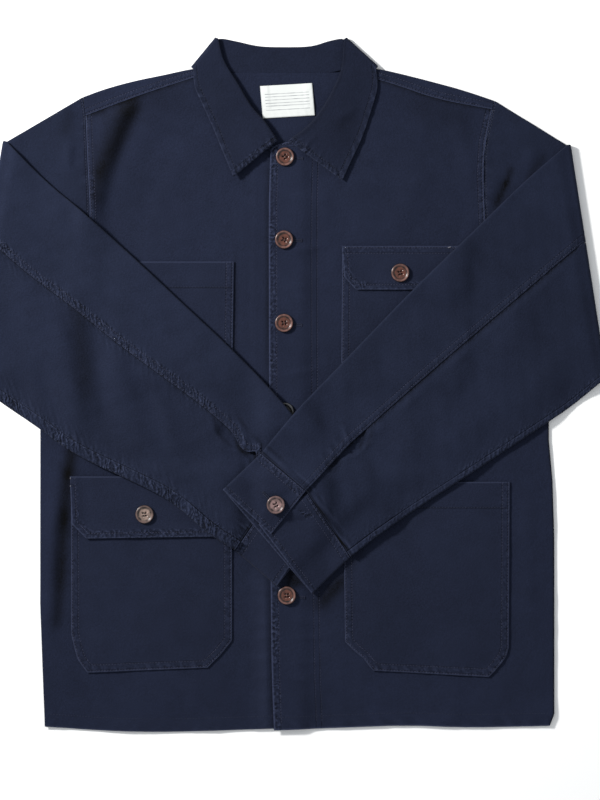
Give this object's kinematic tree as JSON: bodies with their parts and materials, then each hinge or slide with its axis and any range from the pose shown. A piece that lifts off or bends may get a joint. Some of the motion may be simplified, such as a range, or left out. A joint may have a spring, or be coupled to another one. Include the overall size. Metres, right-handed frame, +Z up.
{
  "type": "chore jacket",
  "caption": "Buttoned twill chore jacket lying flat on its back, both sleeves folded across the front, one-piece collar, patch pockets and buttoned flaps.",
  "frame": {"origin": "centre of the box around the laid jacket, on the surface it lies on", "axes": "+Y from the hem to the collar, +X to the wearer's left, +Z up from the surface, out of the jacket's front"},
  "size_m": [0.7074, 0.763, 0.027],
  "materials": {
    "navy_twill": "garment-washed cotton twill, matte",
    "navy_twill_sleeve": "garment-washed cotton twill, matte",
    "navy_twill_trim": "garment-washed cotton twill, doubled, matte",
    "brown_button": "polished, mottled brown resin",
    "white_label": "woven satin tape"
  },
  "bodies": {
    "root": {"back": "navy_twill", "front_right": "navy_twill", "front_left": "navy_twill", "collar": "navy_twill_trim", "chest_pocket_right": "navy_twill_trim", "chest_pocket_left": "navy_twill_trim", "hip_pocket_right": "navy_twill_trim", "hip_pocket_left": "navy_twill_trim", "chest_flap_left": "navy_twill_trim", "hip_flap_right": "navy_twill_trim", "cuff_right": "navy_twill_trim", "cuff_left": "navy_twill_trim", "sleeve_right_top": "navy_twill_sleeve", "sleeve_right_under": "navy_twill_sleeve", "sleeve_left_top": "navy_twill_sleeve", "sleeve_left_under": "navy_twill_sleeve", "neck_label": "white_label", "button_front_1": "brown_button", "button_front_2": "brown_button", "button_front_3": "brown_button", "button_front_4": "brown_button", "button_front_5": "brown_button", "button_front_6": "brown_button", "button_chest_flap": "brown_button", "button_hip_flap": "brown_button", "button_cuff_right": "brown_button", "button_cuff_left": "brown_button"}
  },
  "joints": []
}
